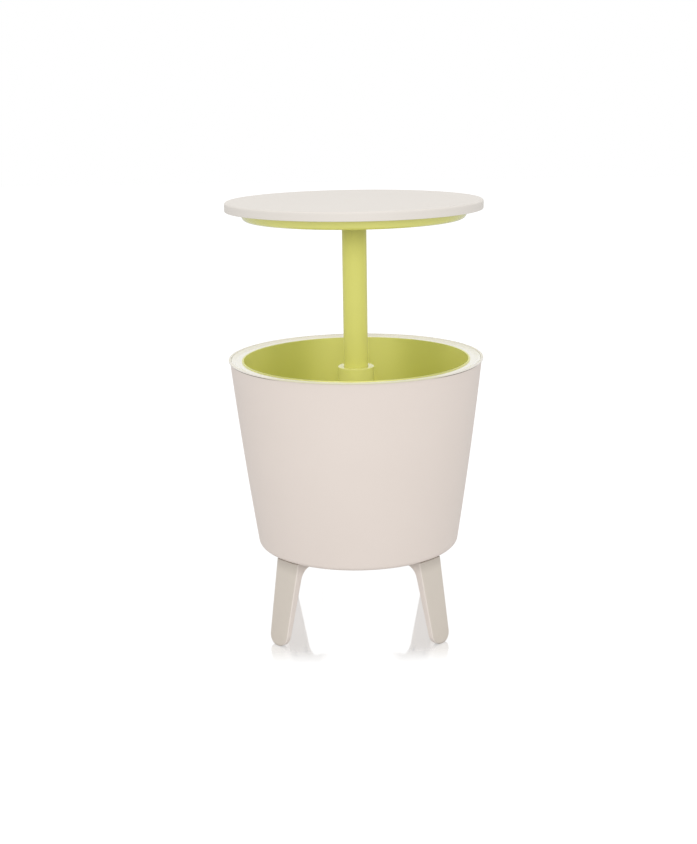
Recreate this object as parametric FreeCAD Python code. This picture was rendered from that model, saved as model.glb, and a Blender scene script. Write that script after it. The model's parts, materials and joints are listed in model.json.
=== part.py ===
import FreeCAD, Part
import math
import os

# Ice bucket coffee table, raised as a high table. Millimetres, +Z up, floor at z = 0, front at -Y.

# Overall: the other widths and heights follow from these
open_height = 840.0
table_diameter = 493.0
base_height = 162.5
ice_depth = 227.0

# Tabletop: cover and dish
band_height = 17.0
band_wall = 3.2
cover_plate = 3.2
cover_edge_round = 3.6
band_round = 1.0
band_inner_round = 0.6
plate_fillet = 1.5
badge_diameter = 30.0
badge_depth = 0.6
badge_bevel = 1.0
dish_depth = 18.5
dish_mouth_overlap = 2.3
dish_floor_inset = 8.0
dish_corner_round = 10.2
dish_lip_round = 0.8
dish_wall = 2.8
dish_lip_recess = 2.0
hub_pad_diameter = 108.0
hub_pad_thickness = 6.0
cover_rib_count = 12
cover_rib_depth = 7.0
rib_thickness = 2.2
rib_circle_diameter = 300.0
cover_screw_count = 8
cover_screw_inset = 16.0
boss_diameter = 9.5
seat_ring_gap = 1.0

# Outer shell
shell_wall = 3.5
shell_floor = 3.5
side_taper = 47.8
side_bulge = 1.8
side_arc_fullness = 0.92
base_round = 9.5
bead_overhang = 1.7
bead_stand = 2.0
bead_height = 3.0
bead_width = 3.6
bead_round = 1.2
bead_low_round = 0.5
bead_step = 1.0
ledge_share = 0.65
gusset_count = 16
gusset_depth = 9.0
gusset_height = 24.0
floor_rib_height = 14.0
pillar_ring_height = 9.0
vent_diameter = 20.0

# Rim ring in the shell's mouth
ring_width = 27.2
ring_drop = 4.7
ring_thickness = 2.8
ring_skirt_height = 10.0
ring_skirt_wall = 2.2
ring_edge_round = 0.6

# Liner with its hollow centre pillar
liner_wall = 2.2
liner_lip_width = 3.6
liner_lip_thickness = 1.6
liner_lip_round = 0.7
liner_taper = 21.0
liner_floor_round = 24.0
pillar_foot_round = 9.0
pillar_wall = 3.7
pillar_draft = 1.0
ear_diameter = 12.0
ear_height = 34.0
ear_count = 3
ear_outward_share = 0.25
ear_hole_share = 0.5
ear_start_angle = 150.0

# Lock sleeve, the collar at the top of the pillar
collar_diameter = 71.0
collar_sink = 19.5
collar_height = 35.0
guide_length = 29.8
collar_round = 1.4
spigot_diameter = 63.0
shelf_thickness = 9.0
channel_play = 2.0
sleeve_screw_angles = (135.0, 315.0)

# Post and the twist lock at its foot
post_diameter = 47.0
post_wall = 2.8
lug_reach = 4.8
lug_height = 9.0
lug_half_angle = 12.0
lug_count = 2
lock_turn = 90.0
plug_length = 24.0
plug_lead_round = 1.5
post_screw_angles = (60.0, 180.0, 300.0)
post_screw_bite = 7.0
stem_diameter = 32.0
retainer_diameter = 44.0
retainer_thickness = 3.0
retainer_screw_circle_diameter = 18.0
retainer_screw_count = 3
shoe_height = 12.0
shoe_diameter = 62.8
key_count = 3
key_width = 5.0
key_start_angle = 30.0
head_flange_diameter = 100.0
head_flange = 4.0
head_socket_wall = 3.4
head_cap = 4.0
head_socket_depth = 18.0
head_screw_circle_diameter = 78.0
head_screw_count = 4
head_screw_start_angle = 45.0
head_boss_height = 8.0
head_edge_round = 1.0
head_fillet = 3.0

# Legs
leg_angles = (225.0, 315.0, 135.0, 45.0)
leg_names = ("front_left", "front_right", "rear_left", "rear_right")
leg_top_inset = 2.5
leg_splay = 11.0
leg_top_width = 59.5
leg_tip_width = 46.0
leg_top_thickness = 19.5
leg_tip_thickness = 12.5
leg_flare_round = 28.0
leg_edge_round = 3.4
leg_inner_round = 2.0
leg_root = 10.5
leg_root_round = 6.0
leg_crown = 1.4
leg_tip_flat = 0.8
leg_tip_fullness = 0.94
leg_stock = 8.0
leg_boss_diameter = 11.5
edge_match_gap = 1.5
cross_edge_share = 0.9
tenon_width = 14.0
tenon_depth = 20.0
tenon_height = 18.0
socket_wall = 3.0
leg_screw_spacing = 30.0
leg_screw_seat = 8.0
leg_screw_inset = 15.5
tenon_inset = 17.0

# Drain
drain_position = (0.0, 120.0)
spout_diameter = 22.0
spout_wall = 2.6
spout_flange_diameter = 36.0
spout_flange = 2.4
spout_flange_round = 0.8
spout_reach = 12.0
gasket_thickness = 1.5
nut_side_count = 6
nut_across_flats = 32.0
nut_height = 8.0
plug_cap_diameter = 28.0
plug_cap_height = 6.0
plug_cap_round = 1.5
stopper_length = 14.0
seal_thickness = 1.6
grip_length = 19.6
grip_width = 4.0
grip_height = 9.0

# Screws: shank and head
screw_diameter = 4.6
head_diameter = 8.6
pan_head_height = 2.6
small_screw_diameter = 3.6
small_head_diameter = 7.0
screw_tip_gap = 1.0

# Clearances
close_gap = 0.3
running_gap = 0.3
fit_gap = 0.15
floor_gap = 1.5
bond_gap = 0.05

# How far a cutting shape runs past the face that it cuts
overrun = 1.0

full_turn = 360.0

# Diameters worked out from the tabletop, which closes the bucket's mouth
rim_diameter = table_diameter + 2 * bead_overhang
shell_mouth_diameter = rim_diameter - 2 * bead_stand
base_diameter = shell_mouth_diameter - 2 * side_taper
mouth_diameter = shell_mouth_diameter - 2 * ring_width
liner_floor_diameter = mouth_diameter - 2 * liner_taper
dish_mouth_diameter = mouth_diameter + 2 * dish_mouth_overlap
dish_floor_diameter = mouth_diameter - 2 * dish_floor_inset
cover_screw_circle_diameter = table_diameter - 2 * cover_screw_inset

# Rim height: the column rises no further than its pillar is deep, less its lock and guide
band_bottom = open_height - band_height
lock_height = retainer_thickness + shoe_height + shelf_thickness + lug_height + 5 * running_gap
pillar_low = base_height + shell_floor + floor_gap
rim_height = (band_bottom - close_gap + pillar_low + lock_height + guide_length + collar_sink) / 2

# Levels worked out from the sizes above
travel = band_bottom - rim_height - close_gap
dish_lip_bottom = band_bottom + dish_lip_recess
dish_lip_top = dish_lip_bottom + dish_wall
dish_bottom = band_bottom - dish_depth
hub_top = dish_bottom + hub_pad_thickness
plate_bottom = open_height - cover_plate
floor_top = base_height + shell_floor
ring_top = rim_height - ring_drop
ring_bottom = ring_top - ring_thickness
liner_floor_height = rim_height - ice_depth
liner_floor_bottom = liner_floor_height - liner_wall
collar_top = rim_height - collar_sink
pillar_top = collar_top - collar_height
retainer_bottom = pillar_low + travel
retainer_top = retainer_bottom + retainer_thickness
shoe_bottom = retainer_top + running_gap
shoe_top = shoe_bottom + shoe_height
sleeve_bottom = shoe_top + 2 * running_gap
shelf_top = sleeve_bottom + shelf_thickness
lug_bottom = shelf_top + running_gap
lug_top = lug_bottom + lug_height
chamber_top = lug_top + running_gap
post_top = hub_top + head_flange + head_socket_depth

# Radii worked out from the sizes above
table_radius = table_diameter / 2
band_inner_radius = table_radius - band_wall
dish_lip_radius = band_inner_radius - running_gap
post_radius = post_diameter / 2
guide_radius = post_radius + running_gap
foot_radius = post_radius - running_gap
lug_radius = post_radius + lug_reach
chamber_radius = lug_radius + running_gap
key_radius = lug_radius + 2 * running_gap
spigot_radius = spigot_diameter / 2
pillar_bore_radius = spigot_radius + fit_gap
mouth_radius = mouth_diameter / 2
spout_radius = spout_diameter / 2
spout_bore_radius = spout_radius - spout_wall
shank_radius = screw_diameter / 2
small_shank_radius = small_screw_diameter / 2
sleeve_screw_tip_radius = post_radius + 2 * lug_reach / 3

up = FreeCAD.Vector(0, 0, 1)
origin = FreeCAD.Vector(0, 0, 0)


def slope(degrees):
    return math.tan(math.radians(degrees))


def polar(radius, degrees, z=0.0):
    turn = math.radians(degrees)
    return FreeCAD.Vector(radius * math.cos(turn), radius * math.sin(turn), z)


def rounded_wire(corners, place):
    """Closed wire through corners (a, b, radius); each radius becomes a tangent arc."""
    count = len(corners)
    points = [FreeCAD.Vector(c[0], c[1], 0) for c in corners]
    entries = []
    for i in range(count):
        here = points[i]
        radius = corners[i][2] if len(corners[i]) > 2 else 0.0
        if radius <= 0:
            entries.append((here, None, here))
            continue
        back = (points[i - 1] - here).normalize()
        ahead = (points[(i + 1) % count] - here).normalize()
        half = back.getAngle(ahead) / 2
        cut = radius / math.tan(half)
        middle = (back + ahead).normalize()
        centre = here + middle * (radius / math.sin(half))
        entries.append((here + back * cut, centre - middle * radius, here + ahead * cut))
    edges = []
    for i in range(count):
        start, mid, end = entries[i]
        if mid is not None:
            edges.append(Part.Arc(place(start), place(mid), place(end)).toShape())
        following = entries[(i + 1) % count][0]
        if (following - end).Length > 1e-6:
            edges.append(Part.LineSegment(place(end), place(following)).toShape())
    return Part.Wire(Part.__sortEdges__(edges))


def in_section(p):
    return FreeCAD.Vector(p.x, 0, p.y)


def in_front_view(p):
    return FreeCAD.Vector(0, p.x, p.y)


def turned(corners, turn=full_turn):
    """Solid of revolution about Z from corners (radius, height, rounding)."""
    face = Part.Face(rounded_wire(corners, in_section))
    return face.revolve(origin, up, turn)


def sector(inner, outer, low, high, start, end):
    shape = turned([(inner, low), (outer, low), (outer, high), (inner, high)], end - start)
    shape.rotate(origin, up, start)
    return shape


def rod(radius, low, high, at=origin):
    return Part.makeCylinder(radius, high - low, FreeCAD.Vector(at.x, at.y, low))


def block(size_x, size_y, low, high, at=origin):
    corner = FreeCAD.Vector(at.x - size_x / 2, at.y - size_y / 2, low)
    return Part.makeBox(size_x, size_y, high - low, corner)


def turned_copy(shape, degrees):
    copy = shape.copy()
    copy.rotate(origin, up, degrees)
    return copy


def around(shape, count, start=0.0):
    return [turned_copy(shape, start + full_turn * i / count) for i in range(count)]


def join(first, others):
    return first.fuse(others).removeSplitter()


def pan_screw(radius, head_radius, seat, tip, at):
    """Upright screw whose head is under the seat and whose tip is above it."""
    head = rod(head_radius, seat - pan_head_height, seat, at)
    return head.fuse(rod(radius, seat, tip, at)).removeSplitter()


def flush_screw(radius, head_radius, face, tip, at):
    """Upright countersunk screw, head flush with a face that looks down."""
    cone_height = head_radius - radius
    cone = Part.makeCone(head_radius, radius, cone_height, FreeCAD.Vector(at.x, at.y, face))
    return cone.fuse(rod(radius, face + cone_height, tip, at)).removeSplitter()


def flush_hole(radius, head_radius, face, end, at):
    return flush_screw(radius + fit_gap, head_radius + fit_gap, face, end, at)


def side_radius(z):
    """Outer radius of the shell's slightly convex side."""
    share = (z - base_height) / (rim_height - base_height)
    straight = base_diameter / 2 + (shell_mouth_diameter - base_diameter) / 2 * share
    return straight + 4 * side_bulge * share * (1 - share)


def pillar_outer(z):
    return pillar_bore_radius + pillar_wall + (pillar_top - z) * slope(pillar_draft)


def pillar_inner(z):
    return pillar_outer(z) - pillar_wall


def leg_outer_face(z):
    """Radius of a leg's outer face at a height, before it is crowned."""
    return base_diameter / 2 - leg_top_inset + (base_height - z) * slope(leg_splay)


def leg_inner_face(z):
    thickness = leg_tip_thickness + (leg_top_thickness - leg_tip_thickness) * z / base_height
    return leg_outer_face(z) - thickness


def leg_screw_radius():
    return leg_outer_face(base_height) - leg_screw_inset


def leg_screw_places():
    offset = leg_screw_spacing / 2
    return [FreeCAD.Vector(leg_screw_radius(), side, 0) for side in (-offset, offset)]


def tenon_radius():
    return leg_outer_face(base_height) - tenon_inset


def ear_radius():
    return pillar_outer(floor_top) + ear_outward_share * ear_diameter


def drain_centre():
    return FreeCAD.Vector(drain_position[0], drain_position[1], 0)


def shell_bowl():
    """Tapered bowl, convex outside and straight inside, with a beaded mouth and a ring ledge."""
    middle = (base_height + rim_height) / 2
    chord = rim_height - base_height
    curve = side_arc_fullness * chord ** 2 / (8 * side_bulge)
    bead_radius = rim_diameter / 2
    bead_low = rim_height - bead_height
    ledge = side_radius(ring_bottom) - ledge_share * shell_wall
    inner = side_radius(ring_bottom) - shell_wall
    inner_base = base_diameter / 2 - shell_wall
    return turned([
        (0, base_height),
        (base_diameter / 2, base_height, base_round),
        (side_radius(middle) + side_bulge, middle, curve),
        (side_radius(bead_low - bead_step), bead_low - bead_step),
        (bead_radius, bead_low, bead_low_round),
        (bead_radius, rim_height, bead_round),
        (bead_radius - bead_width, rim_height, bead_round),
        (ledge, ring_bottom),
        (inner, ring_bottom),
        (side_radius(middle) - shell_wall, middle),
        (inner_base, floor_top, base_round - shell_wall),
        (0, floor_top),
    ])


def skirt_radius():
    """Outer radius of the ring's skirt at its foot."""
    return side_radius(ring_bottom - ring_skirt_height) - shell_wall - running_gap


def shell_gussets():
    """Ribs inside the mouth that carry the rim ring, stepped to clear its skirt."""
    low = ring_bottom - ring_skirt_height - running_gap
    foot = low - gusset_height
    inner = skirt_radius() - ring_skirt_wall - running_gap
    face = Part.Face(Part.makePolygon([
        FreeCAD.Vector(inner - gusset_depth, -rib_thickness / 2, ring_bottom),
        FreeCAD.Vector(inner, -rib_thickness / 2, ring_bottom),
        FreeCAD.Vector(inner, -rib_thickness / 2, low),
        FreeCAD.Vector(side_radius(low) - shell_wall / 2, -rib_thickness / 2, low),
        FreeCAD.Vector(side_radius(foot) - shell_wall / 2, -rib_thickness / 2, foot),
        FreeCAD.Vector(inner - gusset_depth, -rib_thickness / 2, ring_bottom - gusset_depth),
        FreeCAD.Vector(inner - gusset_depth, -rib_thickness / 2, ring_bottom),
    ]))
    rib = face.extrude(FreeCAD.Vector(0, rib_thickness, 0))
    return around(rib, gusset_count)


def leg_seat():
    """Socket for a leg's tenon and two screw bosses on the shell's floor, at azimuth 0."""
    at = FreeCAD.Vector(tenon_radius(), 0, 0)
    outer = 2 * (socket_wall + fit_gap)
    top = base_height + tenon_height + socket_wall
    box = block(tenon_depth + outer, tenon_width + outer, floor_top, top, at)
    bosses = [rod(leg_boss_diameter / 2, floor_top, top, place) for place in leg_screw_places()]
    return box.fuse(bosses).removeSplitter()


def leg_seat_cuts():
    at = FreeCAD.Vector(tenon_radius(), 0, 0)
    room = 2 * fit_gap
    pocket_top = base_height + tenon_height + fit_gap
    pocket = block(tenon_depth + room, tenon_width + room, base_height - overrun, pocket_top, at)
    pilots = [rod(shank_radius, base_height - overrun, pocket_top, place)
              for place in leg_screw_places()]
    return [pocket] + pilots


def shell_floor_ribs():
    start = pillar_outer(floor_top) + ear_diameter + rib_thickness
    end = tenon_radius() - tenon_depth / 2 - fit_gap
    rib = Part.makeBox(end - start, rib_thickness, floor_rib_height,
                       FreeCAD.Vector(start, -rib_thickness / 2, floor_top))
    ring = sector(start, start + rib_thickness, floor_top, floor_top + pillar_ring_height, 0, full_turn)
    return [turned_copy(rib, angle) for angle in leg_angles] + [ring]


def outer_shell():
    """Cream body: bowl, mouth gussets, leg sockets and the holes in its floor."""
    seats = [turned_copy(leg_seat(), angle) for angle in leg_angles]
    body = join(shell_bowl(), shell_gussets() + seats + shell_floor_ribs())
    cuts = [turned_copy(cut, angle) for angle in leg_angles for cut in leg_seat_cuts()]
    low = base_height - overrun
    high = floor_top + overrun
    cuts.append(rod(vent_diameter / 2, low, high))
    cuts.append(rod(spout_radius + running_gap, low, high, drain_centre()))
    cuts += [rod(shank_radius + fit_gap, low, high, at) for at in ear_places()]
    return body.cut(cuts)


def rim_ring():
    """Flat ring set below the bead, with a skirt down inside the shell."""
    edge = side_radius(ring_bottom) - shell_wall
    ledge = side_radius(ring_bottom) - ledge_share * shell_wall
    inner = mouth_radius + liner_wall + fit_gap
    foot = ring_bottom - ring_skirt_height
    return turned([
        (inner, ring_bottom),
        (inner, ring_top),
        (ledge - fit_gap, ring_top, ring_edge_round),
        (ledge - fit_gap, ring_bottom),
        (edge - running_gap, ring_bottom),
        (skirt_radius(), foot),
        (skirt_radius() - ring_skirt_wall, foot),
        (skirt_radius() - ring_skirt_wall, ring_bottom),
    ])


def ear_places():
    step = full_turn / ear_count
    return [polar(ear_radius(), ear_start_angle + step * i) for i in range(ear_count)]


def liner_bundt():
    """Ice bucket wall, floor and the tapered hollow pillar in one moulding."""
    lip_top = ring_top + liner_lip_thickness
    floor_radius = liner_floor_diameter / 2
    return turned([
        (mouth_radius, lip_top, liner_lip_round),
        (floor_radius, liner_floor_height, liner_floor_round),
        (pillar_outer(liner_floor_height), liner_floor_height, pillar_foot_round),
        (pillar_outer(pillar_top), pillar_top),
        (pillar_inner(pillar_top), pillar_top),
        (pillar_inner(floor_top), floor_top),
        (pillar_outer(floor_top), floor_top),
        (pillar_outer(liner_floor_bottom), liner_floor_bottom),
        (floor_radius + liner_wall, liner_floor_bottom, liner_floor_round + liner_wall),
        (mouth_radius + liner_wall, ring_top),
        (mouth_radius + liner_lip_width, ring_top),
        (mouth_radius + liner_lip_width, lip_top, liner_lip_round),
    ])


def pillar_key():
    """Straight upright key inside the pillar, at azimuth 0."""
    low = pillar_low
    high = sleeve_bottom - running_gap
    length = pillar_outer(floor_top) - key_radius
    return Part.makeBox(length, key_width, high - low,
                        FreeCAD.Vector(key_radius, -key_width / 2, low))


def inner_liner():
    """Lime liner with its pillar, keys, screw ears and drain hole."""
    half_wall = pillar_wall / 2
    core = turned([
        (0, floor_top), (pillar_inner(floor_top) + half_wall, floor_top),
        (pillar_inner(pillar_top) + half_wall, pillar_top), (0, pillar_top),
    ])
    keys = [key.common(core) for key in around(pillar_key(), key_count, key_start_angle)]
    ears = [rod(ear_diameter / 2, floor_top, floor_top + ear_height, at).cut(core)
            for at in ear_places()]
    body = join(liner_bundt(), keys + ears)
    cuts = [rod(shank_radius, floor_top - overrun, ear_hole_top(), at) for at in ear_places()]
    cuts.append(rod(spout_radius + fit_gap, liner_floor_bottom - overrun,
                    liner_floor_height + overrun, drain_centre()))
    cuts += sleeve_screw_bores(pillar_outer(pillar_top) + pillar_wall)
    return body.cut(cuts)


def ear_hole_top():
    return floor_top + ear_hole_share * ear_height


def sleeve_screw_level():
    return (sleeve_bottom + pillar_top) / 2


def sleeve_screw_bores(length):
    level = sleeve_screw_level()
    bores = []
    for angle in sleeve_screw_angles:
        bores.append(Part.makeCylinder(small_shank_radius, length, polar(0, 0, level),
                                       polar(1, angle)))
    return bores


def lock_sleeve():
    """Collar and spigot with the twist lock's channels, chamber and shelves inside."""
    radius = collar_diameter / 2
    body = turned([
        (guide_radius, sleeve_bottom),
        (spigot_radius, sleeve_bottom),
        (spigot_radius, pillar_top),
        (radius, pillar_top),
        (radius, collar_top, collar_round),
        (guide_radius, collar_top, collar_round),
    ])
    reach = lug_half_angle + channel_play
    cuts = []
    for i in range(lug_count):
        start = full_turn * i / lug_count
        cuts.append(sector(foot_radius, chamber_radius, shelf_top, chamber_top,
                           start - reach, start + lock_turn + reach))
        cuts.append(sector(foot_radius, chamber_radius, sleeve_bottom - overrun, chamber_top,
                           start - reach, start + reach))
    core = rod(sleeve_screw_tip_radius, sleeve_bottom, pillar_top)
    bores = [bore.cut(core) for bore in sleeve_screw_bores(radius)]
    return body.cut(cuts + bores)


def sleeve_screws():
    """Two short screws through the pillar's wall into the sleeve's solid stops."""
    level = sleeve_screw_level()
    seat = pillar_outer(level) + fit_gap
    tip = sleeve_screw_tip_radius
    screws = []
    for angle in sleeve_screw_angles:
        shank = Part.makeCylinder(small_shank_radius - bond_gap, seat - tip, polar(tip, angle, level),
                                  polar(1, angle))
        head = Part.makeCylinder(small_head_diameter / 2, pan_head_height, polar(seat, angle, level),
                                 polar(1, angle))
        screws.append(shank.fuse(head).removeSplitter())
    return Part.makeCompound(screws)


def liner_screws():
    tip = ear_hole_top() - screw_tip_gap
    return Part.makeCompound([
        pan_screw(shank_radius - bond_gap, head_diameter / 2, base_height, tip, at)
        for at in ear_places()
    ])


def leg_side_profile():
    """Side view of a leg at azimuth 0: splayed, with a flare on its inner side under the body."""
    low = -leg_stock
    top = base_height
    root = top - leg_root
    root_end = leg_inner_face(root) - leg_flare_round - leg_root_round
    return Part.Face(rounded_wire([
        (leg_outer_face(top) + leg_stock, top),
        (leg_outer_face(low) + leg_stock, low),
        (leg_inner_face(low), low),
        (leg_inner_face(root), root, leg_flare_round),
        (root_end, root, leg_root_round),
        (root_end, top),
    ], in_section))


def leg_front_outline():
    """Front view of a leg: tapered sides and a rounded tip."""
    tip = leg_tip_width / 2
    top = leg_top_width / 2
    return Part.Face(rounded_wire([
        (-top, base_height),
        (-tip, -leg_tip_flat, leg_tip_fullness * tip),
        (tip, -leg_tip_flat, leg_tip_fullness * tip),
        (top, base_height),
    ], in_front_view))


def leg_crown_cylinder():
    """Large cylinder along the leg whose surface is the leg's slightly convex outer face."""
    radius = leg_top_width ** 2 / (8 * leg_crown)
    along = FreeCAD.Vector(-slope(leg_splay), 0, 1)
    outward = FreeCAD.Vector(1, 0, slope(leg_splay)).normalize()
    start = FreeCAD.Vector(leg_outer_face(-leg_stock), 0, -leg_stock)
    length = (base_height + 3 * leg_stock) / math.cos(math.radians(leg_splay))
    return Part.makeCylinder(radius, length, start - outward * radius, along)


def leg_blank():
    width = leg_top_width + leg_stock
    side = leg_side_profile()
    side.translate(FreeCAD.Vector(0, -width / 2, 0))
    slab = side.extrude(FreeCAD.Vector(0, width, 0))
    plank = leg_front_outline().extrude(FreeCAD.Vector(base_diameter, 0, 0))
    return slab.common(plank).common(leg_crown_cylinder())


def leg_long_edges(blank, outer_side):
    """Edges round the outer or the inner face, without those of the root under the body."""
    chosen = []
    for edge in blank.Edges:
        ends = [vertex.Point.z for vertex in edge.Vertexes]
        at = edge.CenterOfMass
        middle = (leg_outer_face(at.z) + leg_inner_face(at.z)) / 2
        along = edge.tangentAt(edge.FirstParameter)
        crosses = abs(along.x) > cross_edge_share and len(ends) == 2
        if min(ends) > base_height - leg_root - bond_gap or crosses:
            continue
        if (at.x > middle) == outer_side:
            chosen.append(edge)
    return chosen


def make_leg():
    """Splayed plank with rounded edges, a tenon for its socket and two screw pockets."""
    body = leg_blank()
    inner_marks = [edge.CenterOfMass for edge in leg_long_edges(body, False)]
    body = body.makeFillet(leg_edge_round, leg_long_edges(body, True))
    inner = [edge for edge in leg_long_edges(body, False)
             if min((edge.CenterOfMass - mark).Length for mark in inner_marks) < edge_match_gap]
    body = body.makeFillet(leg_inner_round, inner)
    body = body.common(block(2 * base_diameter, 2 * leg_top_width, 0, base_height))
    tenon = block(tenon_depth, tenon_width, base_height - leg_root, base_height + tenon_height,
                  FreeCAD.Vector(tenon_radius(), 0, 0))
    body = join(body, [tenon])
    seat = base_height - leg_screw_seat
    cuts = []
    for at in leg_screw_places():
        cuts.append(rod(head_diameter / 2 + running_gap, base_height / 2, seat, at))
        cuts.append(rod(shank_radius + fit_gap, seat - overrun, base_height + overrun, at))
    return body.cut(cuts)


def leg_screws():
    seat = base_height - leg_screw_seat
    tip = base_height + tenon_height - screw_tip_gap
    screws = []
    for angle in leg_angles:
        for at in leg_screw_places():
            screw = pan_screw(shank_radius - bond_gap, head_diameter / 2, seat, tip, at)
            screws.append(turned_copy(screw, angle))
    return Part.makeCompound(screws)


def drain_spout():
    """Flanged tube from the liner's floor down through the shell's floor."""
    top = liner_floor_height + gasket_thickness + spout_flange
    low = base_height - spout_reach
    shape = turned([
        (spout_bore_radius, low),
        (spout_radius, low),
        (spout_radius, liner_floor_height + gasket_thickness),
        (spout_flange_diameter / 2, liner_floor_height + gasket_thickness),
        (spout_flange_diameter / 2, top, spout_flange_round),
        (spout_bore_radius, top),
    ])
    shape.translate(drain_centre())
    return shape


def drain_gasket():
    shape = sector(spout_radius + bond_gap, spout_flange_diameter / 2, liner_floor_height,
                   liner_floor_height + gasket_thickness, 0, full_turn)
    shape.translate(drain_centre())
    return shape


def drain_nut():
    corner = nut_across_flats / math.sqrt(3)
    points = [polar(corner, full_turn * i / nut_side_count, liner_floor_bottom - nut_height)
              for i in range(nut_side_count + 1)]
    nut = Part.Face(Part.makePolygon(points)).extrude(FreeCAD.Vector(0, 0, nut_height))
    hole = rod(spout_radius + bond_gap, liner_floor_bottom - nut_height - overrun,
               liner_floor_bottom + overrun)
    nut = nut.cut(hole)
    nut.translate(drain_centre())
    return nut


def drain_plug():
    """Stopper with a round cap and a grip bar, pushed up into the spout."""
    seat = base_height - spout_reach - running_gap - seal_thickness
    radius = spout_bore_radius - running_gap
    shape = turned([
        (0, seat - plug_cap_height),
        (plug_cap_diameter / 2, seat - plug_cap_height, plug_cap_round),
        (plug_cap_diameter / 2, seat),
        (radius, seat),
        (radius, seat + stopper_length),
        (0, seat + stopper_length),
    ])
    low = seat - plug_cap_height - grip_height
    grip = block(grip_length, grip_width, low, seat - plug_cap_height / 2)
    shape = join(shape, [grip])
    shape.translate(drain_centre())
    return shape


def plug_seal():
    seat = base_height - spout_reach - running_gap - seal_thickness
    shape = sector(spout_bore_radius - running_gap + bond_gap, plug_cap_diameter / 2 - bond_gap,
                   seat, seat + seal_thickness, 0, full_turn)
    shape.translate(drain_centre())
    return shape


def guide_shoe():
    """Ring round the stem, notched for the pillar's keys so that it slides but can't turn."""
    stem = stem_diameter / 2 + running_gap
    ring = sector(stem, shoe_diameter / 2, shoe_bottom, shoe_top, 0, full_turn)
    start = key_radius - running_gap
    width = key_width + 2 * running_gap
    notch = Part.makeBox(shoe_diameter / 2 + overrun - start, width, shoe_height + 2 * overrun,
                         FreeCAD.Vector(start, -width / 2, shoe_bottom - overrun))
    return ring.cut(around(notch, key_count, key_start_angle))


def bayonet_foot():
    """Plug in the post's end, with two lugs and the stem that carries the guide shoe."""
    neck = shoe_top + running_gap
    tube_inner = post_radius - post_wall - bond_gap
    body = turned([
        (0, retainer_top),
        (stem_diameter / 2, retainer_top),
        (stem_diameter / 2, neck),
        (foot_radius, neck),
        (foot_radius, lug_top),
        (tube_inner, lug_top),
        (tube_inner, lug_top + plug_length, plug_lead_round),
        (0, lug_top + plug_length),
    ])
    lug = sector(stem_diameter / 2, lug_radius, lug_bottom, lug_top, -lug_half_angle, lug_half_angle)
    body = join(body, around(lug, lug_count))
    cuts = [rod(small_shank_radius, retainer_top - overrun, lug_bottom, at)
            for at in retainer_screw_places()]
    return body.cut(cuts + post_screw_bores(post_screw_tip() - screw_tip_gap))


def retainer_screw_places():
    step = full_turn / retainer_screw_count
    return [polar(retainer_screw_circle_diameter / 2, step * i)
            for i in range(retainer_screw_count)]


def foot_retainer():
    """Washer under the stem that keeps the guide shoe on."""
    washer = rod(retainer_diameter / 2, retainer_bottom, retainer_top)
    holes = [flush_hole(small_shank_radius, small_head_diameter / 2, retainer_bottom,
                        retainer_top + overrun, at) for at in retainer_screw_places()]
    return washer.cut(holes)


def retainer_screws():
    return Part.makeCompound([
        flush_screw(small_shank_radius - bond_gap, small_head_diameter / 2, retainer_bottom,
                    lug_bottom - screw_tip_gap, at)
        for at in retainer_screw_places()
    ])


def post_screw_level():
    return lug_top + plug_length / 2


def post_screw_tip():
    return post_radius - post_wall - post_screw_bite


def post_screw_seat():
    """Radius at which a post screw's countersunk head begins."""
    return post_radius - running_gap - (small_head_diameter / 2 - small_shank_radius)


def post_screw_bores(start):
    level = post_screw_level()
    return [Part.makeCylinder(small_shank_radius, post_radius + overrun - start,
                              polar(start, angle, level), polar(1, angle))
            for angle in post_screw_angles]


def post_tube():
    """Lime column from the bayonet foot up into the post head."""
    tube = sector(post_radius - post_wall, post_radius, lug_top, post_top, 0, full_turn)
    level = post_screw_level()
    wide = small_head_diameter / 2 + fit_gap
    start = post_screw_seat()
    depth = post_radius - running_gap - start
    sinks = []
    for angle in post_screw_angles:
        sinks.append(Part.makeCone(small_shank_radius + fit_gap, wide, depth,
                                   polar(start, angle, level), polar(1, angle)))
        sinks.append(Part.makeCylinder(wide, running_gap + overrun,
                                       polar(start + depth, angle, level), polar(1, angle)))
    return tube.cut(sinks + post_screw_bores(post_radius - post_wall - overrun))


def post_screws():
    """Three countersunk screws through the tube into the foot's plug."""
    seat = post_screw_seat()
    tip = post_screw_tip()
    level = post_screw_level()
    radius = small_shank_radius - bond_gap
    screws = []
    for angle in post_screw_angles:
        shank = Part.makeCylinder(radius, seat - tip, polar(tip, angle, level), polar(1, angle))
        head = Part.makeCone(radius, small_head_diameter / 2, post_radius - running_gap - seat,
                             polar(seat, angle, level), polar(1, angle))
        screws.append(shank.fuse(head).removeSplitter())
    return Part.makeCompound(screws)


def head_screw_places():
    step = full_turn / head_screw_count
    return [polar(head_screw_circle_diameter / 2, head_screw_start_angle + step * i)
            for i in range(head_screw_count)]


def head_boss_top():
    return hub_top + head_flange + head_boss_height


def post_head():
    """Flanged cap on the post's upper end, screwed to the dish's hub pad."""
    socket = post_radius + bond_gap
    outer = socket + head_socket_wall
    top = post_top + head_cap
    body = turned([
        (socket, hub_top),
        (head_flange_diameter / 2, hub_top),
        (head_flange_diameter / 2, hub_top + head_flange, head_edge_round),
        (outer, hub_top + head_flange, head_fillet),
        (outer, top, head_edge_round),
        (0, top),
        (0, post_top),
        (socket, post_top),
    ])
    bosses = [rod(boss_diameter / 2, hub_top, head_boss_top(), at) for at in head_screw_places()]
    holes = [rod(shank_radius, hub_top - overrun, head_boss_top() - screw_tip_gap, at)
             for at in head_screw_places()]
    return join(body, bosses).cut(holes)


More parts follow.
